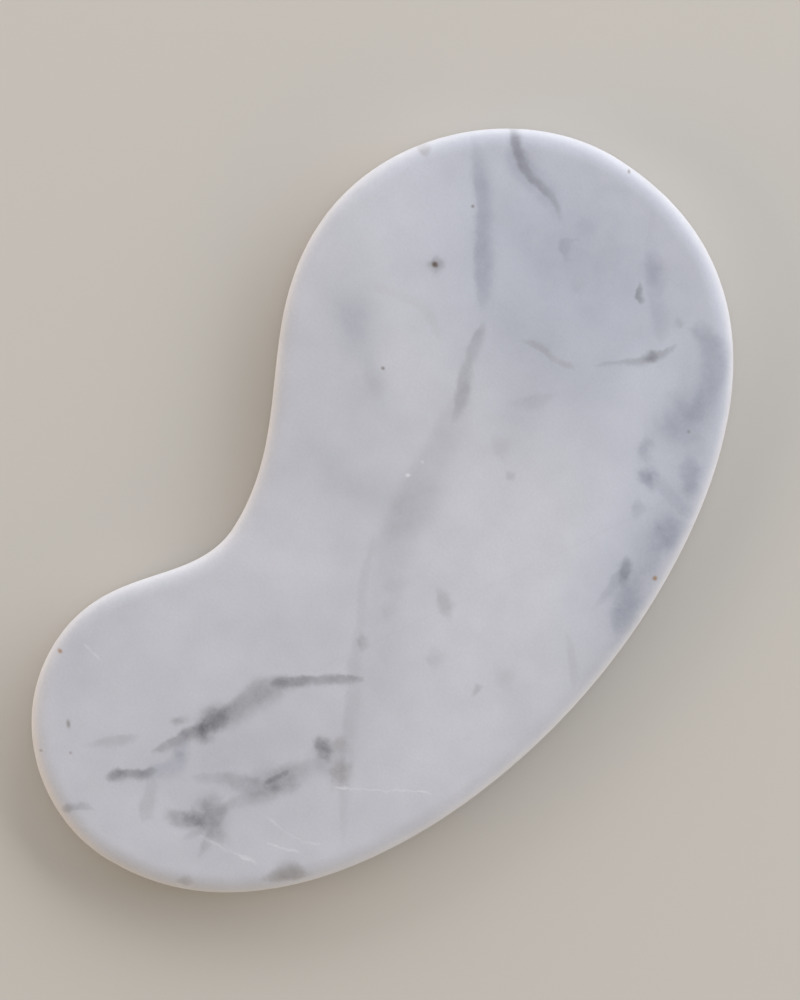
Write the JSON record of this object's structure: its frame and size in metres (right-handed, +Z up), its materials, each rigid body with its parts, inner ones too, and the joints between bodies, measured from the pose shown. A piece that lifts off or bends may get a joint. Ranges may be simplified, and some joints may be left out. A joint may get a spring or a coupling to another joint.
{
  "type": "gua sha scraper",
  "caption": "Flat hand-held massage scraper of white marble: a broad rounded head and a smaller rounded toe, with a long convex back, a concave waist and a rim rounded all the way round.",
  "frame": {"origin": "centre of the slab's bounding rectangle, on the underside that it rests on", "axes": "+Z up out of the upper flat face, +Y along the length towards the broad head, with the concave waist on the -X side"},
  "size_m": [0.056, 0.1, 0.006],
  "materials": {
    "marble": "satin polish"
  },
  "bodies": {
    "root": {"scraper_stone": "marble"}
  },
  "joints": []
}
